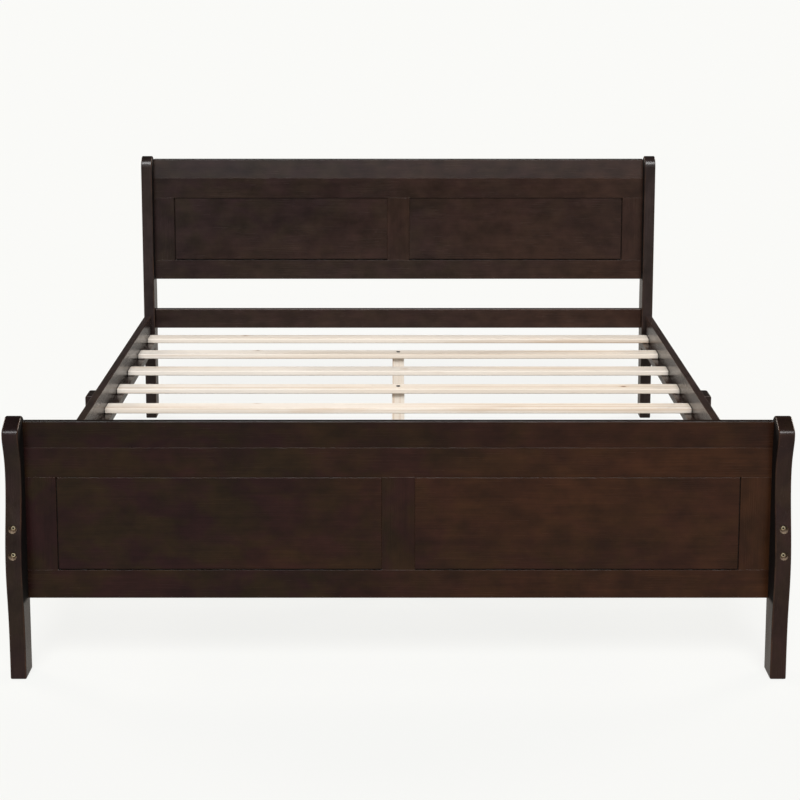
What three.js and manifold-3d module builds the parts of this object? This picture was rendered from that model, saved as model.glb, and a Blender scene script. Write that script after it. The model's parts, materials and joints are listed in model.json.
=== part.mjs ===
// Sleigh bed: two scroll-shaped end frames, joined by side rails that carry a slatted base.
// Millimetres. X runs across the bed, Y from the foot (-Y) to the head (+Y), Z up from the floor.
import * as THREE from 'three';
import { mergeVertices } from 'three/addons/utils/BufferGeometryUtils.js';
import Module from 'manifold-3d';

const wasm = await Module();
wasm.setup();

// Overall sizes
const BED_WIDTH = 1590; // across the outer sides of the posts
const CLEAR_LENGTH = 2045; // between the mattress sides of the head and foot posts
const JOINT = 0.3; // hairline left between pieces that touch

// Posts: flat boards cut to an S-shaped profile
const POST_WIDTH = 33;
const LEG_DEPTH = 63; // of the straight part near the floor
const BELLY = 14; // how far the profile swells out beyond the leg
const WAIST = 10; // how far it draws in above the belly
const NOSE = 12; // how far the scroll at the top reaches out
const LEG_STRAIGHT_TO = 0.1; // heights along the profile, as shares of the post's height
const BELLY_AT = 0.45;
const WAIST_AT = 0.775;
const NOSE_DROP = 26; // from the top of the post down to the tip of the scroll
const CROWN = 31; // from the mattress side out to the highest point
const SHOULDER = 33; // height of the round between the mattress side and the crown

// Framed boards: a cap, two rails, two stiles, a mullion and two panels
const BOARD_THICKNESS = 16;
const CAP_HEIGHT = 58;
const CAP_LEAN = 10; // how far the cap's top edge leans outward
const CAP_ROUND = 3;
const TOP_RAIL_HEIGHT = 62;
const OPENING_HEIGHT = 197;
const BOTTOM_RAIL_HEIGHT = 60;
const STILE_WIDTH = 62;
const MULLION_WIDTH = 68;
const PANEL_PROUD = 2; // how far the panels stand out of the outer face
const PANEL_RECESS = 3; // how far they sit back from the inner, mattress face

// The two ends. side is the sign of Y; boardSet is how far the board stands out from the mattress side.
const HEAD = { name: 'head', side: 1, postHeight: 828, boardBottom: 439, boardSet: 40 };
const FOOT = { name: 'foot', side: -1, postHeight: 547, boardBottom: 158, boardSet: 1 };
const STRETCHER = { bottom: 286, height: 60, thickness: 22, set: 20 };

// Side rails, with the ledger strips that hold the slats
const RAIL_THICKNESS = 20;
const RAIL_INSET = 2; // behind the outer sides of the posts
const RAIL_TOP = 329;
const RAIL_HEIGHT = 117;
const LEDGER_SIZE = 20;
const LEDGER_TOP = 262;
const LEDGER_END = 8; // clear of the posts

// Middle legs: blocks on the outer faces of the rails
const MID_LEG = { thickness: 25, depth: 64, height: 317, round: 6, fromHead: 953 };

// Slats and the legs below some of them
const SLAT_COUNT = 10;
const SLAT_WIDTH = 60;
const SLAT_THICKNESS = 14;
const SLAT_END_GAP = 1;
const SLAT_PITCH = 215;
const FIRST_SLAT_FROM_HEAD = 68;
const LEGGED_SLATS = [2, 4, 6, 8];
const SLAT_LEG_SIZE = 34;

// Fasteners
const BOLT = { headRadius: 5, headHeight: 4.5, radius: 3, socketRadius: 2.5, socketDepth: 2.5 };
const BOLT_HEIGHTS = { upper: 321, lower: 267 };
const BOLT_INSET = 15; // of the axis from the post's outer side
const BOLT_REACH = 45; // into the end of the rail
const COUNTERBORE = { radius: 8.2, depth: 13 };
const SCREW = { headRadius: 5.5, headHeight: 2, radius: 2.2, reach: 30 };

// Derived sizes
const HALF_LENGTH = CLEAR_LENGTH / 2;
const POST_OUTER = BED_WIDTH / 2;
const POST_INNER = POST_OUTER - POST_WIDTH;
const BOARD_HEIGHT = BOTTOM_RAIL_HEIGHT + OPENING_HEIGHT + TOP_RAIL_HEIGHT + CAP_HEIGHT;
const RAIL_OUTER = POST_OUTER - RAIL_INSET;
const RAIL_INNER = RAIL_OUTER - RAIL_THICKNESS;
const BOLT_X = POST_OUTER - BOLT_INSET;
const SLAT_BOTTOM = LEDGER_TOP + JOINT;
const SLAT_TOP = SLAT_BOTTOM + SLAT_THICKNESS;

const CURVE_STEPS = 10;
const ROUND_SIDES = 24;

const FINISHES = {
  espresso: { color: 0x2f211c, roughness: 0.38, metalness: 0 },
  pine: { color: 0xe8dac4, roughness: 0.7, metalness: 0 },
  brass: { color: 0xb08a4e, roughness: 0.35, metalness: 1 },
  steel: { color: 0x6b6a66, roughness: 0.4, metalness: 1 },
};

const bed = new THREE.Group();
bed.name = 'sleigh_bed';

function addPiece(name, geometry, finish) {
  const piece = new THREE.Mesh(geometry, new THREE.MeshStandardMaterial(FINISHES[finish]));
  piece.name = name;
  bed.add(piece);
}

// Geometry helpers

function box(x, y, z) {
  const geometry = new THREE.BoxGeometry(x[1] - x[0], y[1] - y[0], z[1] - z[0]);
  return geometry.translate((x[0] + x[1]) / 2, (y[0] + y[1]) / 2, (z[0] + z[1]) / 2);
}

// A rod along Y from one Y to another
function rodAlongY(radius, x, y, z, sides = ROUND_SIDES) {
  const rod = new THREE.CylinderGeometry(radius, radius, Math.abs(y[1] - y[0]), sides);
  return rod.translate(x, (y[0] + y[1]) / 2, z);
}

// A rod along Z from one Z to another
function rodAlongZ(radius, x, y, z) {
  const rod = new THREE.CylinderGeometry(radius, radius, z[1] - z[0], ROUND_SIDES);
  return rod.rotateX(Math.PI / 2).translate(x, y, (z[0] + z[1]) / 2);
}

// A profile drawn in Y and Z, pushed out along X
function extrudeAlongX(outline, x) {
  const depth = x[1] - x[0];
  const geometry = new THREE.ExtrudeGeometry(outline, { depth, bevelEnabled: false, curveSegments: CURVE_STEPS });
  const turn = new THREE.Matrix4().makeBasis(
    new THREE.Vector3(0, 1, 0),
    new THREE.Vector3(0, 0, 1),
    new THREE.Vector3(1, 0, 0),
  );
  return geometry.applyMatrix4(turn).translate(x[0], 0, 0);
}

// A profile drawn in X and Z, pushed out along Y
function extrudeAlongY(outline, y) {
  const depth = y[1] - y[0];
  const geometry = new THREE.ExtrudeGeometry(outline, { depth, bevelEnabled: false, curveSegments: CURVE_STEPS });
  return geometry.rotateX(Math.PI / 2).translate(0, y[1], 0);
}

function solidOf(geometry) {
  geometry.deleteAttribute('normal');
  geometry.deleteAttribute('uv');
  const welded = mergeVertices(geometry);
  const vertProperties = new Float32Array(welded.attributes.position.array);
  const triVerts = new Uint32Array(welded.index.array);
  return new wasm.Manifold(new wasm.Mesh({ numProp: 3, vertProperties, triVerts }));
}

function geometryOf(solid) {
  const mesh = solid.getMesh();
  const geometry = new THREE.BufferGeometry();
  geometry.setAttribute('position', new THREE.BufferAttribute(mesh.vertProperties, 3));
  geometry.setIndex(new THREE.BufferAttribute(mesh.triVerts, 1));
  geometry.computeVertexNormals();
  return geometry;
}

function cut(geometry, tools) {
  let solid = solidOf(geometry);
  for (const tool of tools) solid = solid.subtract(solidOf(tool));
  return geometryOf(solid);
}

// Y of a point that lies a given way out from the mattress side of an end's posts
function outward(end, distance) {
  return end.side * (HALF_LENGTH + distance);
}

function span(end, from, to) {
  return [outward(end, from), outward(end, to)].sort((a, b) => a - b);
}

function sided(side, near, far) {
  return [side * near, side * far].sort((a, b) => a - b);
}

// End frames

// The post's side view: straight leg, belly, waist, scroll nose, crown and rounded shoulder
function postOutline(end) {
  const top = end.postHeight;
  const belly = LEG_DEPTH + BELLY;
  const waist = LEG_DEPTH - WAIST;
  const nose = LEG_DEPTH + NOSE;
  const at = (distance, share) => [outward(end, distance), top * share];
  const below = (distance, drop) => [outward(end, distance), top - drop];
  const outline = new THREE.Shape();
  outline.moveTo(...at(0, 0));
  outline.lineTo(...at(LEG_DEPTH, 0));
  outline.lineTo(...at(LEG_DEPTH, LEG_STRAIGHT_TO));
  outline.bezierCurveTo(...at(LEG_DEPTH, 0.3), ...at(belly, 0.33), ...at(belly, BELLY_AT));
  outline.bezierCurveTo(...at(belly, 0.57), ...at(waist, 0.66), ...at(waist, WAIST_AT));
  outline.bezierCurveTo(...at(waist, 0.87), ...at(nose, 0.9), ...below(nose, NOSE_DROP));
  outline.quadraticCurveTo(...below(nose, 19), ...below(nose - 7, 16));
  outline.lineTo(...below(CROWN + 8, 2));
  outline.quadraticCurveTo(...below(CROWN + 4, 0), ...below(CROWN, 0));
  outline.bezierCurveTo(...below(CROWN / 2, 0), ...below(0, SHOULDER / 2), ...below(0, SHOULDER));
  outline.closePath();
  return outline;
}

// How far out the post's curved outer face stands at a given height
function outerFaceAt(end, height) {
  const points = postOutline(end).getPoints(CURVE_STEPS);
  let farthest = 0;
  for (let i = 1; i < points.length; i += 1) {
    const [low, high] = [points[i - 1], points[i]].sort((a, b) => a.y - b.y);
    if (low.y > height || high.y <= height) continue;
    const share = (height - low.y) / (high.y - low.y);
    const y = low.x + share * (high.x - low.x);
    farthest = Math.max(farthest, end.side * y - HALF_LENGTH);
  }
  return farthest;
}

function addPost(end, side, sideName) {
  const x = side * BOLT_X;
  const blank = extrudeAlongX(postOutline(end), sided(side, POST_INNER, POST_OUTER));
  const holes = [];
  for (const z of Object.values(BOLT_HEIGHTS)) {
    const face = outerFaceAt(end, z);
    const floor = face - COUNTERBORE.depth;
    holes.push(rodAlongY(COUNTERBORE.radius, x, span(end, floor, face + COUNTERBORE.depth), z));
    holes.push(rodAlongY(BOLT.radius + JOINT, x, span(end, -JOINT, floor + JOINT), z));
  }
  addPiece(`${end.name}_post_${sideName}`, cut(blank, holes), 'espresso');
}

function addBolts(end, side, sideName) {
  const x = side * BOLT_X;
  for (const [level, z] of Object.entries(BOLT_HEIGHTS)) {
    const seat = outerFaceAt(end, z) - COUNTERBORE.depth + JOINT;
    const headTop = seat + BOLT.headHeight;
    const head = solidOf(rodAlongY(BOLT.headRadius, x, span(end, seat, headTop), z));
    const shank = solidOf(rodAlongY(BOLT.radius, x, span(end, -BOLT_REACH, seat + JOINT), z));
    const socket = solidOf(rodAlongY(BOLT.socketRadius, x, span(end, headTop - BOLT.socketDepth, headTop + 1), z, 6));
    addPiece(`${end.name}_bolt_${sideName}_${level}`, geometryOf(head.add(shank).subtract(socket)), 'brass');
  }
}

// The cap's side view: a band that leans outward, with its top corners rounded
function capOutline(end, bottom, top) {
  const inner = end.boardSet;
  const outer = inner + BOARD_THICKNESS;
  const at = (distance, z) => [outward(end, distance), z];
  const outline = new THREE.Shape();
  outline.moveTo(...at(inner, bottom));
  outline.lineTo(...at(outer, bottom));
  outline.lineTo(...at(outer + CAP_LEAN, top - CAP_ROUND));
  outline.quadraticCurveTo(...at(outer + CAP_LEAN, top), ...at(outer + CAP_LEAN - CAP_ROUND, top));
  outline.lineTo(...at(inner + CAP_LEAN + CAP_ROUND, top));
  outline.quadraticCurveTo(...at(inner + CAP_LEAN, top), ...at(inner + CAP_LEAN, top - CAP_ROUND));
  outline.closePath();
  return outline;
}

function addBoard(end) {
  const halfWidth = POST_INNER - JOINT;
  const across = [-halfWidth, halfWidth];
  const through = span(end, end.boardSet, end.boardSet + BOARD_THICKNESS);
  const railTop = end.boardBottom + BOTTOM_RAIL_HEIGHT;
  const openingTop = railTop + OPENING_HEIGHT;
  const capBottom = openingTop + TOP_RAIL_HEIGHT;
  const top = end.boardBottom + BOARD_HEIGHT;
  const opening = [railTop + JOINT, openingTop - JOINT];
  const panelInner = MULLION_WIDTH / 2 + JOINT;
  const panelOuter = halfWidth - STILE_WIDTH - JOINT;
  const panelThrough = span(
    end,
    end.boardSet + PANEL_RECESS,
    end.boardSet + BOARD_THICKNESS + PANEL_PROUD,
  );

  addPiece(`${end.name}_cap`, extrudeAlongX(capOutline(end, capBottom + JOINT, top), across), 'espresso');
  addPiece(`${end.name}_top_rail`, box(across, through, [openingTop, capBottom]), 'espresso');
  addPiece(`${end.name}_bottom_rail`, box(across, through, [end.boardBottom, railTop]), 'espresso');
  addPiece(`${end.name}_mullion`, box([-MULLION_WIDTH / 2, MULLION_WIDTH / 2], through, opening), 'espresso');
  for (const [sideName, side] of SIDES) {
    const stile = sided(side, halfWidth - STILE_WIDTH, halfWidth);
    const panel = sided(side, panelInner, panelOuter);
    addPiece(`${end.name}_stile_${sideName}`, box(stile, through, opening), 'espresso');
    addPiece(`${end.name}_panel_${sideName}`, box(panel, panelThrough, opening), 'espresso');
  }
}

function addStretcher() {
  const halfWidth = POST_INNER - JOINT;
  const through = span(HEAD, STRETCHER.set, STRETCHER.set + STRETCHER.thickness);
  const upright = [STRETCHER.bottom, STRETCHER.bottom + STRETCHER.height];
  addPiece('head_stretcher', box([-halfWidth, halfWidth], through, upright), 'espresso');
}

// Sides

function addRail(side, sideName) {
  const end = HALF_LENGTH - JOINT;
  const blank = box(sided(side, RAIL_INNER, RAIL_OUTER), [-end, end], [RAIL_TOP - RAIL_HEIGHT, RAIL_TOP]);
  const holes = [];
  for (const z of Object.values(BOLT_HEIGHTS)) {
    for (const bedEnd of [HEAD, FOOT]) {
      const depth = span(bedEnd, -BOLT_REACH - JOINT, JOINT);
      holes.push(rodAlongY(BOLT.radius + JOINT, side * BOLT_X, depth, z));
    }
  }
  addPiece(`side_rail_${sideName}`, cut(blank, holes), 'espresso');
}

function addLedger(side, sideName) {
  const end = HALF_LENGTH - LEDGER_END;
  const x = sided(side, RAIL_INNER - JOINT - LEDGER_SIZE, RAIL_INNER - JOINT);
  addPiece(`ledger_${sideName}`, box(x, [-end, end], [LEDGER_TOP - LEDGER_SIZE, LEDGER_TOP]), 'espresso');
}

// The block's front view, with its outer top corner rounded
function addMidLeg(side, sideName) {
  const near = side * (RAIL_OUTER + JOINT);
  const far = side * (RAIL_OUTER + JOINT + MID_LEG.thickness);
  const centre = HALF_LENGTH - MID_LEG.fromHead;
  const outline = new THREE.Shape();
  outline.moveTo(near, 0);
  outline.lineTo(far, 0);
  outline.lineTo(far, MID_LEG.height - MID_LEG.round);
  outline.quadraticCurveTo(far, MID_LEG.height, far - side * MID_LEG.round, MID_LEG.height);
  outline.lineTo(near, MID_LEG.height);
  outline.closePath();
  const y = [centre - MID_LEG.depth / 2, centre + MID_LEG.depth / 2];
  addPiece(`mid_leg_${sideName}`, extrudeAlongY(outline, y), 'espresso');
}

// Slatted base

function addSlat(number) {
  const centre = HALF_LENGTH - FIRST_SLAT_FROM_HEAD - (number - 1) * SLAT_PITCH;
  const halfLength = RAIL_INNER - SLAT_END_GAP;
  const y = [centre - SLAT_WIDTH / 2, centre + SLAT_WIDTH / 2];
  const label = String(number).padStart(2, '0');
  const blank = box([-halfLength, halfLength], y, [SLAT_BOTTOM, SLAT_TOP]);
  if (!LEGGED_SLATS.includes(number)) {
    addPiece(`slat_${label}`, blank, 'pine');
    return;
  }
  const hole = rodAlongZ(SCREW.radius + JOINT, 0, centre, [SLAT_BOTTOM - 1, SLAT_TOP + 1]);
  addPiece(`slat_${label}`, cut(blank, [hole]), 'pine');
  addSlatLeg(centre, label);
}

function addSlatLeg(centre, label) {
  const half = SLAT_LEG_SIZE / 2;
  const top = SLAT_BOTTOM - JOINT;
  const seat = SLAT_TOP + JOINT;
  const tip = top - SCREW.reach;
  const blank = box([-half, half], [centre - half, centre + half], [0, top]);
  const hole = rodAlongZ(SCREW.radius + JOINT, 0, centre, [tip - JOINT, top + 1]);
  addPiece(`slat_leg_${label}`, cut(blank, [hole]), 'pine');
  const head = solidOf(rodAlongZ(SCREW.headRadius, 0, centre, [seat, seat + SCREW.headHeight]));
  const shank = solidOf(rodAlongZ(SCREW.radius, 0, centre, [tip, seat + JOINT]));
  addPiece(`slat_screw_${label}`, geometryOf(head.add(shank)), 'steel');
}

const SIDES = [['left', -1], ['right', 1]];

for (const end of [HEAD, FOOT]) {
  addBoard(end);
  for (const [sideName, side] of SIDES) {
    addPost(end, side, sideName);
    addBolts(end, side, sideName);
  }
}
addStretcher();
for (const [sideName, side] of SIDES) {
  addRail(side, sideName);
  addLedger(side, sideName);
  addMidLeg(side, sideName);
}
for (let number = 1; number <= SLAT_COUNT; number += 1) addSlat(number);

export default bed;
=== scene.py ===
"""Sleigh bed: scroll posts in a dark stain, framed boards, a pale slatted base and brass bolts.

Metres. X runs across the bed, Y from the foot (-Y) to the head (+Y), Z up from the floor.
Each piece is rebuilt with eased edges and grain, in the box of the CAD node that it replaces.
"""

import json
import math
import random

import bmesh
import bpy
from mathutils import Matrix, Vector
from mathutils.kdtree import KDTree

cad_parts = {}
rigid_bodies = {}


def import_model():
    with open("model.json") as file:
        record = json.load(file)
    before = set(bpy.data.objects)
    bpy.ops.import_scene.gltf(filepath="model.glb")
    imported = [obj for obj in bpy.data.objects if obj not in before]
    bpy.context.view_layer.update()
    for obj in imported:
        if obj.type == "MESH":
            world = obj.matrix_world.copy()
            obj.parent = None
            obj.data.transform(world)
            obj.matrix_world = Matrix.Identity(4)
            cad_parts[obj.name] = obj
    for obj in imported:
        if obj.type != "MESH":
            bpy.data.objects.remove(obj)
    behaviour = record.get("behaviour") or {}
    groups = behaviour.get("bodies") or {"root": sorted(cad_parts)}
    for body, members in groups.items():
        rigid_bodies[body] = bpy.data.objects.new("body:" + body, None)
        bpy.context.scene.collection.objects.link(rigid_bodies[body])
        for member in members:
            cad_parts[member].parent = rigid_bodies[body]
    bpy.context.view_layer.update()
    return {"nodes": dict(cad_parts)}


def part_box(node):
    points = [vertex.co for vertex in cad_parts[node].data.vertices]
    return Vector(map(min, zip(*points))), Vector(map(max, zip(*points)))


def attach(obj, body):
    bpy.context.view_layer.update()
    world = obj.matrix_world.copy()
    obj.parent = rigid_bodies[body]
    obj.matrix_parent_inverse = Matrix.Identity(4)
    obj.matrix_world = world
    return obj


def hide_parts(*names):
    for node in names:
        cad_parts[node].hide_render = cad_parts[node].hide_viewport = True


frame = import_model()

BOARD_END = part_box("foot_cap")[1].x  # the boards lie inside it, the posts and rails outside
SEED = 11
random.seed(SEED)

# Axes, by their place in a vector
X, Y, Z = 0, 1, 2

# Camera: at the foot end, above the bed, looking slightly down
CAMERA_PLACE = (0.0, -4.758, 1.512)
CAMERA_PITCH = math.radians(9.02)
CAMERA_LENS = 84.8  # mm, on a 36 mm sensor
CAMERA_SHIFT = (0.0022, -0.21)

# Post profile: sizes in metres, heights as shares of the post's height
LEG_DEPTH = 0.063
BELLY = 0.014
WAIST = 0.010
NOSE = 0.012
LEG_STRAIGHT_TO = 0.1
BELLY_AT = 0.45
WAIST_AT = 0.775
NOSE_DROP = 0.029
NOSE_TIP = 0.0194  # drop to where the scroll's front would meet the slope of the crown
NOSE_ROUND = 0.42  # share of that slope taken up by the rounded tip
CROWN = 0.031
CROWN_ROLL = 0.004  # reach of the round between the crown and the front slope
CROWN_DROP = 0.002  # its height
SHOULDER = 0.033

JOINT = 0.0003  # hairline that the CAD leaves between touching pieces
CLOSE = 0.0001  # near enough to count as the same place
TINY = 1e-6  # keeps a division away from zero
MOSTLY = 0.9  # share of an edge's length that makes it run along an axis
PAINTED_SHADE_FADE = 0.010  # height over which the painted shade beside a board fades out

# Boards
CAP_LEAN = 0.010
CAP_ROUND = 0.0025
PANEL_CORE = 0.002  # thickness left at the bottom of the groove round a panel
GROOVE_OUTER = 0.0030  # width of the groove beside a stile
GROOVE_INNER = 0.0003  # beside the mullion
GROOVE_BOTTOM = 0.0030
GROOVE_TOP = 0.0003
MID_LEG_ROUND = 0.006

# Fasteners
BORE_PLAY = 0.0003
BOLT_RADIUS = 0.003
BOLT_HEAD = 0.005
BOLT_HEAD_HEIGHT = 0.0045
COUNTERBORE = 0.0082
COUNTERBORE_DEPTH = 0.013
BORE_MOUTH = 0.0022  # depth at which the counterbore starts to flare
MOUTH_FLARE = 0.35  # growth in radius for each metre outward
MOUTH_REACH = 0.010  # length of the flared part of the cutter
SOCKET_FLAT = 0.0021  # half the width of the bolt's hexagon socket across its flats
SOCKET_WIDEST = 0.0025  # from its axis to its corners
SOCKET_DEPTH = 0.0030
BOLT_ROUND = 0.0013  # of the outer edge of the head
SCREW_RADIUS = 0.0022
SCREW_HEAD = 0.0055
CROSS_REACH = 0.0030
CROSS_HALF_WIDTH = 0.0007
CROSS_DEPTH = 0.0012
ROUND_SIDES = 48
SCREW_SIDES = 72  # more, for the cross recess

# How far edges are rounded over
POST_EASE = 0.0030
BOARD_EASE = 0.0005
PANEL_EASE = 0.0008
RAIL_EASE = 0.0022
LEDGER_EASE = 0.0012
SLAT_EASE = 0.0032
SLAT_END_EASE = 0.0010
METAL_EASE = 0.0006
EASE_STEPS = 4
SHARP = math.radians(30)
CURVE_STEP = 0.007
FEWEST_STEPS = 5  # in a curve

# Colours, linear
PLUM_BROWN = (0.0168, 0.0054, 0.0054)
OLIVE_BROWN = (0.0182, 0.0094, 0.0038)
# Warm brown, lighter than the others: a warm tone that also stands in for painted light falling on the
# right of the bed
WARM_LIT_BROWN = (0.0400, 0.0138, 0.0052)
# Grey brown: a painted sheen, laid toward the head and on the posts and rails
PAINTED_SHEEN_GREY = (0.0290, 0.0215, 0.0205)
WORN_BROWN = (0.085, 0.040, 0.022)
BORED_WOOD = (0.25, 0.185, 0.135)
PINE_PALE = (0.86, 0.805, 0.735)
PINE_WARM = (0.83, 0.74, 0.635)
PINE_LINE = (0.56, 0.38, 0.24)
KNOT_BROWN = (0.16, 0.075, 0.035)
BRASS = (0.98, 0.90, 0.64)
DULL_BRASS = (0.26, 0.13, 0.06)
STEEL = (0.23, 0.23, 0.235)
DULL_STEEL = (0.10, 0.095, 0.09)
BACKDROP = (0.950, 0.953, 0.935)
WARM_LIGHT = (1.0, 0.90, 0.80)
WHITE_LIGHT = (1.0, 1.0, 1.0)

# Finishes
WOOD_SHINE = 0.25  # specular level
METAL_ROUGHNESS = 0.34
NOISE_LOW, NOISE_HIGH = 0.3, 0.7  # what a noise mostly stays between

# A colour Mix node's sockets: its inputs, and its result
MIX_FACTOR, MIX_FIRST, MIX_SECOND, MIX_RESULT = 0, 6, 7, 2

# Studio
FLOOR_REACH = 90.0
FLOOR_SIDES = 96
FLOOR_GREY = (0.10, 0.10, 0.098)
FLOOR_GLOW = (0.836, 0.839, 0.823)  # to the camera
FLOOR_FILL = (0.300, 0.280, 0.255)  # to the bed
ROOM_LIGHT = (0.060, 0.055, 0.050)  # to the bed
SOFTBOXES = {  # azimuth (0 at the foot end, 90 at the right), elevation and width in degrees, strength
    "softbox_high": (0, 48, 26, 3.25, WHITE_LIGHT),
    "softbox_low": (0, 18, 26, 0.22, WHITE_LIGHT),
    "softbox_back_left": (-128, 22, 24, 1.5, WARM_LIGHT),
    "softbox_back_right": (128, 22, 24, 1.5, WARM_LIGHT),
}


# Shapes as loops of points


def curve_point(controls, share):
    """A point of the Bezier curve with these control points."""
    while len(controls) > 1:
        controls = [a.lerp(b, share) for a, b in zip(controls, controls[1:])]
    return controls[0]


def trace(start, strokes):
    """A line through strokes, each the control points that follow the last stroke's end."""
    points = [start]
    for stroke in strokes:
        controls = [points[-1], *stroke]
        length = sum((b - a).length for a, b in zip(controls, controls[1:]))
        steps = 1 if len(stroke) == 1 else max(FEWEST_STEPS, round(length / CURVE_STEP))
        points += [curve_point(controls, step / steps) for step in range(1, steps + 1)]
    return points


def box_loops(low, high, along):
    """The two end loops of a box, the first and last along one axis."""
    wide, tall = [axis for axis in (X, Y, Z) if axis != along]
    loops = []
    for end in (low[along], high[along]):
        loop = []
        for a, b in ((low, low), (high, low), (high, high), (low, high)):
            point = Vector((0, 0, 0))
            point[along], point[wide], point[tall] = end, a[wide], b[tall]
            loop.append(point)
        loops.append(loop)
    return loops


def turned_loops(rings, origin, axis, sides=ROUND_SIDES):
    """Loops round an axis. A ring is a distance along it and a radius, or a radius for each angle."""
    across = Vector((1, 0, 0))
    over = axis.cross(across)
    loops = []
    for distance, radius in rings:
        loop = []
        for side in range(sides):
            angle = math.tau * side / sides
            reach = radius(angle) if callable(radius) else radius
            spoke = across * math.cos(angle) + over * math.sin(angle)
            loop.append(origin + axis * distance + spoke * reach)
        loops.append(loop)
    return loops


def solid(loops):
    """A closed mesh: each loop is joined to the next, and the first and last are filled."""
    bm = bmesh.new()
    rows = [[bm.verts.new(point) for point in loop] for loop in loops]
    for row, after in zip(rows, rows[1:]):
        for i in range(len(row)):
            j = (i + 1) % len(row)
            bm.faces.new((row[i], row[j], after[j], after[i]))
    bm.faces.new(rows[0])
    bm.faces.new(rows[-1])
    bmesh.ops.recalc_face_normals(bm, faces=bm.faces)
    return bm


def reaching(node, *sides):
    """A node's box, grown over the hairline on sides such as "-x", so that no light comes through."""
    low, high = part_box(node)
    for sign, axis in sides:
        corner, step = (low, -JOINT) if sign == "-" else (high, JOINT)
        corner["xyz".index(axis)] += step
    return low, high


# Finishing a piece


def ease(bm, radius, only=None, worn=1.0):
    """Rounds the sharp outer edges over, and marks how worn the middle of each round is, up to 1."""
    wear = bm.verts.layers.float.get("wear") or bm.verts.layers.float.new("wear")
    sharp = [edge for edge in bm.edges if edge.is_convex and edge.calc_face_angle(0) > SHARP]
    if only is not None:
        sharp = [edge for edge in sharp if only(edge)]
    made = bmesh.ops.bevel(
        bm, geom=sharp, offset=radius, segments=EASE_STEPS, profile=0.5, affect="EDGES"
    )
    round_faces = set(made["faces"])
    for face in round_faces:
        for vert in face.verts:
            if round_faces.issuperset(vert.link_faces):
                vert[wear] = worn


def mark(bm, name, chosen):
    """Marks, for its material, every vertex whose place passes the test."""
    layer = bm.verts.layers.float.get(name) or bm.verts.layers.float.new(name)
    for vert in bm.verts:
        if chosen(vert.co):
            vert[layer] = 1.0


def lies_along(axis):
    """A test for edges that run along an axis."""

    def test(edge):
        run = edge.verts[1].co - edge.verts[0].co
        return abs(run[axis]) > MOSTLY * run.length

    return test


def mesh_of(name, bm):
    """Turns the mesh being built into one that an object can use."""
    mesh = bpy.data.meshes.new(name)
    bm.to_mesh(mesh)
    bm.free()
    return mesh


def drilled(mesh, cutters):
    """The mesh with holes cut where the cutters, each a list of loops, are."""
    linked = bpy.context.scene.collection.objects
    blank = bpy.data.objects.new("blank", mesh)
    linked.link(blank)
    tools = []
    for loops in cutters:
        tool = bpy.data.objects.new("cutter", mesh_of("cutter", solid(loops)))
        linked.link(tool)
        modifier = blank.modifiers.new("hole", "BOOLEAN")
        modifier.operation = "DIFFERENCE"
        modifier.solver = "EXACT"
        modifier.object = tool
        tools.append(tool)
    evaluated = blank.evaluated_get(bpy.context.evaluated_depsgraph_get())
    result = bpy.data.meshes.new_from_object(evaluated)
    for used in (blank, *tools):
        bpy.data.objects.remove(used)
    mark_bare(result, [point for loops in cutters for loop in loops for point in loop])
    return result


def mark_bare(mesh, points):
    """Marks the vertices that a cutter left, for the bare wood inside a hole."""
    cut = KDTree(len(points))
    for index, point in enumerate(points):
        cut.insert(point, index)
    cut.balance()
    bare = mesh.attributes.new("bare", "FLOAT", "POINT")
    for vert in mesh.vertices:
        _, _, distance = cut.find(vert.co)
        bare.data[vert.index].value = 1.0 if distance < CLOSE else 0.0


def store_grain(mesh, along):
    """Keeps the way the grain runs, and each point's place in it, shifted so that no two match."""
    order = [along] + [axis for axis in (X, Y, Z) if axis != along]
    shift = [random.uniform(0, 5) for _ in order]
    way = [1.0 if axis == along else 0.0 for axis in (X, Y, Z)]
    for name in ("grain", "fibres"):
        mesh.attributes.new(name, "FLOAT_VECTOR", "POINT")
    grain, fibres = mesh.attributes["grain"].data, mesh.attributes["fibres"].data
    for vert in mesh.vertices:
        grain[vert.index].vector = [vert.co[axis] + offset for axis, offset in zip(order, shift)]
        fibres[vert.index].vector = way


def show(node, mesh, material):
    """Puts a mesh into the scene in place of a CAD node."""
    piece = bpy.data.objects.new(f"{node}_piece", mesh)
    bpy.context.scene.collection.objects.link(piece)
    mesh.materials.clear()
    mesh.materials.append(material)
    mesh.shade_smooth()
    mesh.set_sharp_from_angle(angle=SHARP)
    normals = piece.modifiers.new("even_normals", "WEIGHTED_NORMAL")
    normals.keep_sharp = True
    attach(piece, "root")
    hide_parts(node)


def show_wood(node, bm, along, cutters=(), finish="espresso_wood"):
    """Bores a wooden piece, lays its grain along an axis, and puts it into the scene."""
    mesh = mesh_of(node, bm)
    if cutters:
        mesh = drilled(mesh, cutters)
    store_grain(mesh, along)
    show(node, mesh, MATERIALS[finish])


# Bolts and the holes for them


def outward_of(end):
    """The direction out of the bed at the head or foot."""
    return Vector((0, 1 if end == "head" else -1, 0))


def bolt_axis(node):
    """The inner end of a bolt's shank, and its length."""
    low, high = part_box(node)
    middle = (low + high) / 2
    inner = low.y if node.startswith("head") else high.y
    return Vector((middle.x, inner, middle.z)), high.y - low.y


def bolt_bore(end, side, level):
    """The cutter for one bolt: a bore for the shank, and a counterbore with a flared mouth."""
    origin, length = bolt_axis(f"{end}_bolt_{side}_{level}")
    seat = length - BOLT_HEAD_HEIGHT - BORE_PLAY
    mouth = seat + COUNTERBORE_DEPTH - BORE_MOUTH
    rings = [
        (-BORE_PLAY, BOLT_RADIUS + BORE_PLAY),
        (seat, BOLT_RADIUS + BORE_PLAY),
        (seat, COUNTERBORE),
        (mouth, COUNTERBORE),
        (mouth + MOUTH_REACH, COUNTERBORE + MOUTH_REACH * MOUTH_FLARE),
    ]
    return turned_loops(rings, origin, outward_of(end))


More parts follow.
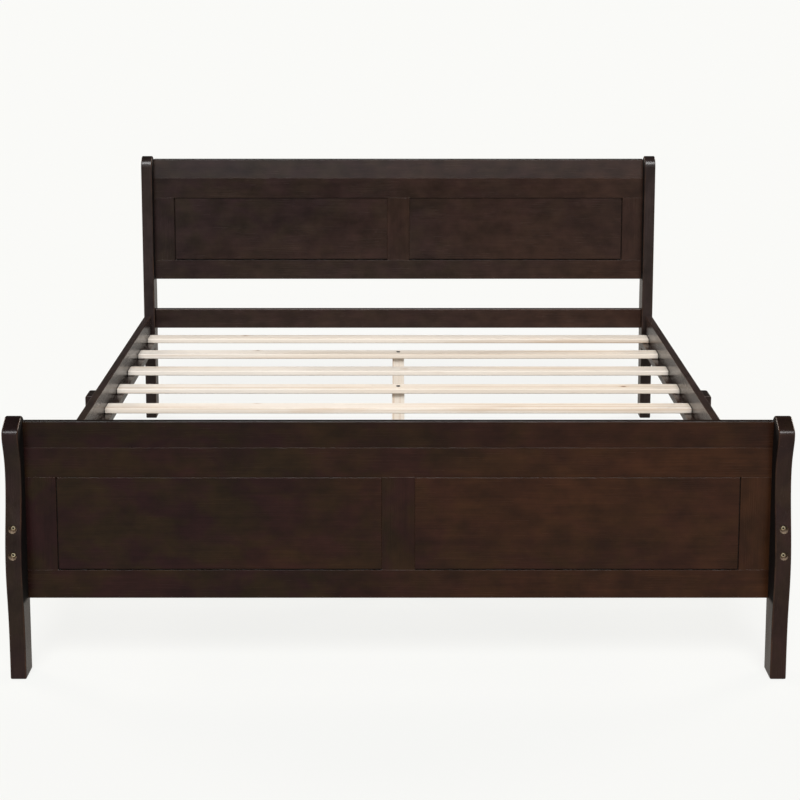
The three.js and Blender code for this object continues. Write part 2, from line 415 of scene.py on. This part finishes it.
def hexagon(angle):
    """The radius of the bolt's socket at an angle."""
    sixth = math.tau / 6
    return SOCKET_FLAT / math.cos(angle % sixth - sixth / 2)


def cross(angle):
    """The radius of the screw's cross recess at an angle."""
    run, rise = abs(math.cos(angle)), abs(math.sin(angle))
    arms = [(run, rise), (rise, run)]
    return max(min(CROSS_REACH / max(a, TINY), CROSS_HALF_WIDTH / max(b, TINY)) for a, b in arms)


def rounded_disc(radius, start, end, ease_by):
    """Rings for a head's side and outer face, with a rounded outer edge."""
    rings = [(start, radius - METAL_EASE / 2), (start + METAL_EASE / 2, radius)]
    for step in range(EASE_STEPS + 1):
        angle = math.pi / 2 * step / EASE_STEPS
        out = end - ease_by * (1 - math.sin(angle))
        rings.append((out, radius - ease_by * (1 - math.cos(angle))))
    return rings


def build_bolt(node, end):
    """A bolt with a rounded head and a hexagon socket darkened with painted shade."""
    origin, length = bolt_axis(node)
    seat = length - BOLT_HEAD_HEIGHT
    rings = [(0, BOLT_RADIUS - METAL_EASE), (METAL_EASE, BOLT_RADIUS), (seat, BOLT_RADIUS)]
    rings += rounded_disc(BOLT_HEAD, seat, length, BOLT_ROUND)
    rings += [(length, hexagon), (length - SOCKET_DEPTH, hexagon)]
    rings.append((length - SOCKET_DEPTH - METAL_EASE, METAL_EASE))
    bm = solid(turned_loops(rings, origin, outward_of(end)))

    def is_in_socket(place):
        depth = abs(place.y - origin.y)
        off_axis = math.hypot(place.x - origin.x, place.z - origin.z)
        return seat < depth < length - CLOSE and off_axis < SOCKET_WIDEST

    # Painted shade: the socket's walls and floor are darkened
    mark(bm, "corner", is_in_socket)
    show(node, mesh_of(node, bm), MATERIALS["brass_bolts"])


def build_screw(number):
    """A flat-headed screw down through a slat into its leg."""
    node = f"slat_screw_{number}"
    low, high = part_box(node)
    middle = (low + high) / 2
    origin = Vector((middle.x, middle.y, low.z))
    length = high.z - low.z
    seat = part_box(f"slat_{number}")[1].z + BORE_PLAY - low.z
    rings = [(0, METAL_EASE), (SCREW_RADIUS, SCREW_RADIUS), (seat, SCREW_RADIUS)]
    rings += rounded_disc(SCREW_HEAD, seat, length, METAL_EASE)
    rings += [(length, cross), (length - CROSS_DEPTH, cross)]
    bm = solid(turned_loops(rings, origin, Vector((0, 0, 1)), SCREW_SIDES))
    show(node, mesh_of(node, bm), MATERIALS["steel_screws"])


# End frames


def post_strokes(top):
    """The post's side view after its foot: straight leg, belly, waist, scroll, crown, shoulder."""
    belly = LEG_DEPTH + BELLY
    waist = LEG_DEPTH - WAIST
    nose = LEG_DEPTH + NOSE

    def at(distance, share):
        return Vector((distance, top * share))

    def below(distance, drop):
        return Vector((distance, top - drop))

    tip = below(nose, NOSE_TIP)
    crown_edge = below(CROWN + 2 * CROWN_ROLL, CROWN_DROP)
    return [
        [at(LEG_DEPTH, 0)],
        [at(LEG_DEPTH, LEG_STRAIGHT_TO)],
        [at(LEG_DEPTH, 0.3), at(belly, 0.33), at(belly, BELLY_AT)],
        [at(belly, 0.57), at(waist, 0.66), at(waist, WAIST_AT)],
        [at(waist, 0.87), at(nose, 0.9), below(nose, NOSE_DROP)],
        [tip, tip.lerp(crown_edge, NOSE_ROUND)],
        [crown_edge],
        [below(CROWN + CROWN_ROLL, 0), below(CROWN, 0)],
        [below(CROWN / 2, 0), below(0, SHOULDER / 2), below(0, SHOULDER)],
    ]


def build_post(end, side):
    """A scroll post, bored for its bolts. Painted shade darkens its inner side, where the board meets
    it.
    """
    node = f"{end}_post_{side}"
    low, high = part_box(node)
    inner = low.y if end == "head" else high.y
    outward = outward_of(end).y
    outline = trace(Vector((0, 0)), post_strokes(high.z))
    loops = [[Vector((x, inner + outward * p.x, p.y)) for p in outline] for x in (low.x, high.x)]
    bm = solid(loops)
    board_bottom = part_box(f"{end}_bottom_rail")[0].z
    for height in (board_bottom, board_bottom + PAINTED_SHADE_FADE):
        whole = [*bm.verts, *bm.edges, *bm.faces]
        bmesh.ops.bisect_plane(bm, geom=whole, plane_co=(0, 0, height), plane_no=(0, 0, 1))
    ease(bm, POST_EASE)
    board_side = high.x if side == "left" else low.x

    def is_in_painted_shade(place):
        return abs(place.x - board_side) < CLOSE and place.z > board_bottom + PAINTED_SHADE_FADE / 2

    # Painted shade: the post's side that faces the board is darkened, as if in the board's shadow
    mark(bm, "corner", is_in_painted_shade)
    bores = [bolt_bore(end, side, level) for level in ("upper", "lower")]
    show_wood(node, bm, Z, bores)


def build_cap(end):
    """The band along the top of a board, leaning outward. Its top face is darkened with painted shade.
    """
    node = f"{end}_cap"
    low, high = reaching(node, "-x", "+x", "-z")
    inner = low.y if end == "head" else high.y
    outward = outward_of(end).y
    thickness = high.y - low.y - CAP_LEAN
    top = high.z

    def at(distance, z):
        return Vector((distance, z))

    outline = [at(0, low.z), at(thickness, low.z), at(thickness + CAP_LEAN, top), at(CAP_LEAN, top)]
    loops = [[Vector((x, inner + outward * p.x, p.y)) for p in outline] for x in (low.x, high.x)]
    bm = solid(loops)
    ease(bm, CAP_ROUND, lambda edge: min(vert.co.z for vert in edge.verts) > top - CLOSE, worn=0.0)
    ease(bm, BOARD_EASE)
    # Painted shade: the cap's top face is darkened
    mark(bm, "painted_top_shade", lambda place: place.z > top - CAP_ROUND / 2)
    show_wood(node, bm, X)


def build_panel(end, side):
    """A thin panel with a narrow groove round its field on both faces."""
    node = f"{end}_panel_{side}"
    low, high = reaching(node, "-x", "+x", "-z", "+z")
    left, right = (GROOVE_OUTER, GROOVE_INNER) if side == "left" else (GROOVE_INNER, GROOVE_OUTER)
    field_low = low + Vector((left, 0, GROOVE_BOTTOM))
    field_high = high - Vector((right, 0, GROOVE_TOP))
    core = Vector((0, (high.y - low.y - PANEL_CORE) / 2, 0))
    field = box_loops(field_low, field_high, Y)
    field_root = box_loops(field_low + core, field_high - core, Y)
    rim = box_loops(low + core, high - core, Y)
    bm = solid([field[0], field_root[0], rim[0], rim[1], field_root[1], field[1]])
    ease(bm, PANEL_EASE)
    middle = (low.y + high.y) / 2
    # Painted shade at the bottom of the groove round the panel's field
    mark(bm, "corner", lambda place: abs(place.y - middle) < PANEL_CORE / 2 + CLOSE)
    show_wood(node, bm, X)


def build_plain(node, along, radius, touches=(), cutters=(), finish="espresso_wood"):
    """A straight piece with rounded edges. It touches its neighbours on the sides in touches."""
    bm = solid(box_loops(*reaching(node, *touches), along))
    ease(bm, radius)
    show_wood(node, bm, along, cutters, finish)


def build_board_rail(node):
    """A rail of the board. Its top edge, against the pieces above it, is darkened with painted shade."""
    low, high = reaching(node, "-x", "+x")
    bm = solid(box_loops(low, high, X))
    ease(bm, BOARD_EASE)
    # Painted shade on the top edge, in the seam under the pieces above
    mark(bm, "corner", lambda place: place.z > high.z - CLOSE)
    show_wood(node, bm, X)


def build_end(end):
    """The head or foot: a framed board with two panels, between two posts with their bolts."""
    build_cap(end)
    build_board_rail(f"{end}_top_rail")
    build_board_rail(f"{end}_bottom_rail")
    build_plain(f"{end}_mullion", Z, BOARD_EASE, ("-z", "+z"))
    for side, outer in (("left", "-x"), ("right", "+x")):
        build_plain(f"{end}_stile_{side}", Z, BOARD_EASE, ("-z", "+z", outer))
        build_panel(end, side)
        build_post(end, side)
        for level in ("upper", "lower"):
            build_bolt(f"{end}_bolt_{side}_{level}", end)


# Sides and slats


def build_rail(side):
    """A side rail, bored at both ends for its bolts."""
    bores = []
    for end in ("head", "foot"):
        for level in ("upper", "lower"):
            origin, length = bolt_axis(f"{end}_bolt_{side}_{level}")
            rings = [(-BORE_PLAY, BOLT_RADIUS + BORE_PLAY), (length, BOLT_RADIUS + BORE_PLAY)]
            bores.append(turned_loops(rings, origin, outward_of(end)))
    build_plain(f"side_rail_{side}", Y, RAIL_EASE, cutters=bores)


def build_mid_leg(side):
    """A block on the outside of a rail, with its outer top corner rounded."""
    node = f"mid_leg_{side}"
    low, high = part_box(node)
    near, far = (low.x, high.x) if side == "right" else (high.x, low.x)
    outward = 1 if side == "right" else -1
    corner = Vector((far, high.z))
    strokes = [
        [Vector((far, low.z))],
        [corner - Vector((0, MID_LEG_ROUND))],
        [corner, corner - Vector((outward * MID_LEG_ROUND, 0))],
        [Vector((near, high.z))],
    ]
    outline = trace(Vector((near, low.z)), strokes)
    bm = solid([[Vector((p.x, y, p.y)) for p in outline] for y in (low.y, high.y)])
    ease(bm, RAIL_EASE)
    show_wood(node, bm, Z)


def screw_bore(number):
    """The cutter for the screw through a slat."""
    low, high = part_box(f"slat_screw_{number}")
    middle = (low + high) / 2
    origin = Vector((middle.x, middle.y, low.z))
    rings = [(-BORE_PLAY, SCREW_RADIUS + BORE_PLAY), (high.z - low.z, SCREW_RADIUS + BORE_PLAY)]
    return turned_loops(rings, origin, Vector((0, 0, 1)))


def build_slat(number):
    """A slat with rounded long edges, and where it has one, its leg and screw."""
    node = f"slat_{number}"
    has_leg = f"slat_leg_{number}" in frame["nodes"]
    bores = [screw_bore(number)] if has_leg else []
    bm = solid(box_loops(*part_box(node), X))
    ease(bm, SLAT_EASE, lies_along(X))
    ease(bm, SLAT_END_EASE)
    show_wood(node, bm, X, bores, "bare_pine")
    if has_leg:
        build_plain(f"slat_leg_{number}", Z, SLAT_END_EASE, cutters=bores, finish="bare_pine")
        build_screw(number)


# Materials


class Shader:
    """A material's nodes, with short calls to add them."""

    def __init__(self, name):
        self.material = bpy.data.materials.new(name)
        self.material.use_nodes = True
        self.tree = self.material.node_tree
        self.surface = self.tree.nodes["Principled BSDF"]

    def node(self, kind, inputs=None, **settings):
        """A new node with these inputs fed and these settings made."""
        made = self.tree.nodes.new(kind)
        for name, value in settings.items():
            setattr(made, name, value)
        for name, value in (inputs or {}).items():
            self.feed(made.inputs[name], value)
        return made

    def feed(self, socket, value):
        """Links an output to a socket, or sets its value."""
        if isinstance(value, bpy.types.NodeSocket):
            self.tree.links.new(value, socket)
        elif isinstance(value, tuple) and socket.type == "RGBA" and len(value) == 3:
            socket.default_value = (*value, 1.0)
        else:
            socket.default_value = value

    def finish(self, **inputs):
        """Feeds the surface's inputs, named with _ for a space, and gives the material back."""
        for name, value in inputs.items():
            self.feed(self.surface.inputs[name.replace("_", " ")], value)
        return self.material

    def attribute(self, name, output="Vector"):
        """What the mesh keeps under a name at each vertex."""
        return self.node("ShaderNodeAttribute", attribute_name=name).outputs[output]

    def end_grain(self):
        """How squarely the surface cuts across the fibres, from 0 to 1."""
        normal = self.node("ShaderNodeNewGeometry").outputs["Normal"]
        inputs = {0: normal, 1: self.attribute("fibres")}
        facing = self.node("ShaderNodeVectorMath", inputs, operation="DOT_PRODUCT").outputs["Value"]
        return self.calc("ABSOLUTE", facing, 0.0)

    def stretched(self, vector, factors):
        """A vector multiplied by a factor along each axis."""
        made = self.node("ShaderNodeVectorMath", {0: vector, 1: factors}, operation="MULTIPLY")
        return made.outputs[0]

    def noise(self, vector, factors, detail=2.0, roughness=0.5, distortion=0.0):
        """Noise whose frequency along each axis is given per metre."""
        inputs = {
            "Vector": self.stretched(vector, factors),
            "Scale": 1.0,
            "Detail": detail,
            "Roughness": roughness,
            "Distortion": distortion,
        }
        return self.node("ShaderNodeTexNoise", inputs).outputs["Fac"]

    def calc(self, operation, a, b, clamp=False):
        """A sum or other operation on two numbers."""
        made = self.node("ShaderNodeMath", {0: a, 1: b}, operation=operation, use_clamp=clamp)
        return made.outputs[0]

    def between(self, value, low, high, to_low=0.0, to_high=1.0):
        """The value's place from low to high, as a number from to_low to to_high."""
        inputs = {"Value": value, "From Min": low, "From Max": high, "To Min": to_low, "To Max": to_high}
        return self.node("ShaderNodeMapRange", inputs, clamp=True).outputs[0]

    def varied(self, noise, low, high):
        """A number that swings from low to high with a noise."""
        return self.between(noise, NOISE_LOW, NOISE_HIGH, low, high)

    def where(self, share, none, full):
        """A number that goes from none to full as a share goes from 0 to 1."""
        return self.between(share, 0.0, 1.0, none, full)

    def mixed(self, factor, a, b):
        """A colour between two others."""
        made = self.node("ShaderNodeMix", data_type="RGBA")
        for index, value in ((MIX_FACTOR, factor), (MIX_FIRST, a), (MIX_SECOND, b)):
            self.feed(made.inputs[index], value)
        return made.outputs[MIX_RESULT]

    def shaded(self, colour, brightness):
        """A colour multiplied by a number."""
        made = self.node("ShaderNodeVectorMath", {0: colour, "Scale": brightness}, operation="SCALE")
        return made.outputs[0]

    def bump(self, height, distance, strength, under=None):
        """Relief from a height, on top of any relief under it."""
        inputs = {"Height": height, "Distance": distance, "Strength": strength}
        if under is not None:
            inputs["Normal"] = under
        return self.node("ShaderNodeBump", inputs).outputs[0]


def stain_tone(s, grain):
    """The stain's colour, with painted light: warmer and lighter to the right, and a painted grey sheen
    toward the head and on the posts and rails.
    """
    blotches = s.noise(grain, (10, 15, 15), detail=3, roughness=0.55, distortion=0.3)
    drift = s.noise(grain, (1.6, 2.5, 2.5), detail=1)
    bed = s.node("ShaderNodeTexCoord").outputs["Object"]
    across, along, _ = s.node("ShaderNodeSeparateXYZ", {0: bed}).outputs
    outermost = s.between(s.calc("ABSOLUTE", across, 0.0), BOARD_END, BOARD_END + CLOSE)

    # Painted light: warmer and lighter toward the right, plus a random warm drift in the stain
    painted_light_and_warmth = s.between(across, -0.8, 0.8, -0.25, 0.60)
    painted_light_and_warmth = s.calc("ADD", painted_light_and_warmth, s.varied(drift, -0.2, 0.5), clamp=True)
    painted_light_and_warmth = s.calc("MULTIPLY", painted_light_and_warmth, s.where(outermost, 1.0, 0.35))
    # Painted sheen: greyer toward the head and on the posts and rails
    painted_sheen = s.between(along, -0.9, 1.0, 0.0, 0.42)
    painted_sheen = s.calc("ADD", painted_sheen, s.where(outermost, 0.0, 0.30))

    tone = s.mixed(s.between(blotches, 0.40, 0.60), PLUM_BROWN, OLIVE_BROWN)
    tone = s.mixed(painted_light_and_warmth, tone, WARM_LIT_BROWN)
    return s.mixed(painted_sheen, tone, PAINTED_SHEEN_GREY)


def worn_share(s, grain):
    """How much of the stain is rubbed off the rounded edges, patch by patch."""
    rubbed = s.between(s.noise(grain, (30, 60, 60), detail=3), 0.38, 0.70, 0.08, 0.55)
    return s.calc("MULTIPLY", s.attribute("wear", "Fac"), rubbed)


def espresso_wood():
    """Dark stain that took unevenly, under a satin lacquer, with a painted grey sheen on the posts and
    rails and painted shade in corners and seams.
    """
    s = Shader("espresso_wood")
    grain = s.attribute("grain")
    clouds = s.noise(grain, (17, 24, 24), detail=3, roughness=0.55)
    figure = s.noise(grain, (3, 60, 60), detail=3, distortion=0.3)
    streaks = s.noise(grain, (11, 520, 520), detail=2)
    pores = s.noise(grain, (60, 1900, 1900), detail=1)
    smudges = s.noise(grain, (9, 22, 22), detail=3)
    # corner marks where painted shade lies: post sides by the board, panel grooves, rail top edges
    corner = s.attribute("corner", "Fac")

    colour = stain_tone(s, grain)
    for shade in (
        s.varied(clouds, 0.72, 1.32),
        s.varied(figure, 0.92, 1.08),
        s.varied(streaks, 0.89, 1.11),
        s.between(s.end_grain(), 0.4, 0.9, 1.0, 0.5),
        # Painted shade: the corner mark, and the cap's top face
        s.where(corner, 1.0, 0.25),
        s.where(s.attribute("painted_top_shade", "Fac"), 1.0, 0.25),
    ):
        colour = s.shaded(colour, shade)
    colour = s.mixed(worn_share(s, grain), colour, WORN_BROWN)
    colour = s.mixed(s.attribute("bare", "Fac"), colour, BORED_WOOD)

    gloss = s.calc("ADD", s.varied(smudges, 0.20, 0.28), s.varied(streaks, -0.02, 0.03))
    gloss = s.calc("ADD", gloss, s.where(corner, 0.0, 0.55))
    relief = s.bump(pores, 0.00008, 0.5)
    relief = s.bump(streaks, 0.00022, 0.25, relief)
    relief = s.bump(figure, 0.00060, 0.15, relief)
    return s.finish(
        Base_Color=colour, Roughness=gloss, Normal=relief, Specular_IOR_Level=WOOD_SHINE
    )


def with_knots(s, grain, colour):
    """Adds a few small dark knots, each in a warm halo."""
    vector = s.stretched(grain, (11, 15, 15))
    spots = s.node("ShaderNodeTexVoronoi", {"Vector": vector, "Scale": 1.0})
    distance = spots.outputs["Distance"]
    chance = s.node("ShaderNodeSeparateColor", {0: spots.outputs["Color"]}).outputs[0]
    is_knot = s.calc("GREATER_THAN", chance, 0.86)
    halo = s.calc("MULTIPLY", is_knot, s.between(distance, 0.07, 0.22, 0.55, 0.0))
    knot = s.calc("MULTIPLY", is_knot, s.between(distance, 0.05, 0.10, 0.9, 0.0))
    return s.mixed(knot, s.mixed(halo, colour, PINE_LINE), KNOT_BROWN)


def bare_pine():
    """Pale planed softwood with warm growth lines and a few small knots."""
    s = Shader("bare_pine")
    grain = s.attribute("grain")
    bend = s.noise(grain, (2.2, 9, 9), detail=2)
    drift = s.noise(grain, (0.9, 7, 7), detail=2)
    lines = s.noise(grain, (0.9, 100, 100), detail=3, roughness=0.55, distortion=0.35)
    stains = s.noise(grain, (3.5, 34, 34), detail=3, distortion=0.4)
    bands = s.noise(grain, (0.5, 30, 30), detail=2, distortion=0.5)
    fibres = s.noise(grain, (22, 1400, 1400), detail=2)

    colour = s.mixed(s.between(drift, 0.35, 0.65), PINE_PALE, PINE_WARM)
    colour = s.mixed(s.between(bands, 0.50, 0.68, 0.0, 0.45), colour, PINE_WARM)
    colour = s.mixed(s.between(lines, 0.53, 0.72, 0.0, 0.70), colour, PINE_LINE)
    colour = s.mixed(s.between(stains, 0.60, 0.78, 0.0, 0.50), colour, PINE_LINE)
    colour = s.shaded(colour, s.varied(fibres, 0.965, 1.03))
    colour = s.shaded(colour, s.varied(bend, 0.97, 1.03))
    colour = with_knots(s, grain, colour)

    gloss = s.varied(fibres, 0.62, 0.74)
    relief = s.bump(fibres, 0.00012, 0.5)
    relief = s.bump(lines, 0.00030, 0.4, relief)
    return s.finish(
        Base_Color=colour, Roughness=gloss, Normal=relief, Specular_IOR_Level=WOOD_SHINE
    )


def metal(name, base, tarnish):
    """Plated metal with faint tarnish and fine scratches."""
    s = Shader(name)
    place = s.node("ShaderNodeTexCoord").outputs["Object"]
    cloud = s.noise(place, (260, 260, 260), detail=4)
    scratches = s.noise(place, (300, 300, 6000), detail=2)
    colour = s.mixed(s.between(cloud, 0.45, 0.75, 0.0, 0.7), base, tarnish)
    # Painted shade: a bolt's socket, marked as corner, is made nearly black
    colour = s.shaded(colour, s.where(s.attribute("corner", "Fac"), 1.0, 0.03))
    gloss = s.calc("ADD", s.varied(cloud, -0.05, 0.10), s.varied(scratches, -0.04, 0.06))
    gloss = s.calc("ADD", gloss, METAL_ROUGHNESS)
    relief = s.bump(scratches, 0.00004, 0.4)
    return s.finish(Base_Color=colour, Roughness=gloss, Normal=relief, Metallic=1.0)


# Studio


def add_floor():
    """A wide, pale floor. It glows to the camera, so that it stays pale under the bed."""
    bm = bmesh.new()
    bmesh.ops.create_circle(bm, cap_ends=True, segments=FLOOR_SIDES, radius=FLOOR_REACH)
    floor = bpy.data.objects.new("studio_floor", mesh_of("studio_floor", bm))
    bpy.context.scene.collection.objects.link(floor)
    s = Shader("studio_floor")
    seen = s.node("ShaderNodeLightPath").outputs["Is Camera Ray"]
    glow = s.mixed(seen, FLOOR_FILL, FLOOR_GLOW)
    material = s.finish(
        Base_Color=FLOOR_GREY,
        Roughness=1.0,
        Specular_IOR_Level=0.0,
        Emission_Color=glow,
        Emission_Strength=1.0,
    )
    floor.data.materials.append(material)


def add_world():
    """A pale backdrop to the camera, in a room that is dim, so that the bed's gloss stays dark."""
    world = bpy.data.worlds.new("studio")
    bpy.context.scene.world = world
    world.use_nodes = True
    nodes, links = world.node_tree.nodes, world.node_tree.links
    path = nodes.new("ShaderNodeLightPath")
    light = nodes.new("ShaderNodeMix")
    light.data_type = "RGBA"
    light.inputs[MIX_FIRST].default_value = (*ROOM_LIGHT, 1.0)
    light.inputs[MIX_SECOND].default_value = (*BACKDROP, 1.0)
    links.new(path.outputs["Is Camera Ray"], light.inputs[MIX_FACTOR])
    links.new(light.outputs[MIX_RESULT], nodes["Background"].inputs["Color"])


def add_softbox(name, azimuth, elevation, width, strength, colour):
    """A broad, distant light."""
    light = bpy.data.lights.new(name, "SUN")
    light.angle = math.radians(width)
    light.energy = strength
    light.color = colour
    lamp = bpy.data.objects.new(name, light)
    bpy.context.scene.collection.objects.link(lamp)
    turn, rise = math.radians(azimuth), math.radians(elevation)
    flat = math.cos(rise)
    towards = Vector((math.sin(turn) * flat, -math.cos(turn) * flat, math.sin(rise)))
    lamp.rotation_euler = towards.to_track_quat("Z", "Y").to_euler()


def add_camera():
    """The camera at the foot end, looking along the bed."""
    data = bpy.data.cameras.new("camera")
    data.lens = CAMERA_LENS
    data.shift_x, data.shift_y = CAMERA_SHIFT
    camera = bpy.data.objects.new("camera", data)
    camera.location = CAMERA_PLACE
    camera.rotation_euler = (math.pi / 2 - CAMERA_PITCH, 0, 0)
    bpy.context.scene.collection.objects.link(camera)
    bpy.context.scene.camera = camera


MATERIALS = {
    "espresso_wood": espresso_wood(),
    "bare_pine": bare_pine(),
    "brass_bolts": metal("brass_bolts", BRASS, DULL_BRASS),
    "steel_screws": metal("steel_screws", STEEL, DULL_STEEL),
}

add_camera()
add_floor()
add_world()
for softbox_name, softbox in SOFTBOXES.items():
    add_softbox(softbox_name, *softbox)
bpy.context.scene.view_settings.view_transform = "Standard"

for end_name in ("head", "foot"):
    build_end(end_name)
build_plain("head_stretcher", X, RAIL_EASE, ("-x", "+x"))
for side_name in ("left", "right"):
    build_rail(side_name)
    build_plain(f"ledger_{side_name}", Y, LEDGER_EASE)
    build_mid_leg(side_name)
slat_count = sum(1 for name in frame["nodes"] if name.removeprefix("slat_").isdigit())
for slat_number in range(1, slat_count + 1):
    build_slat(f"{slat_number:02d}")
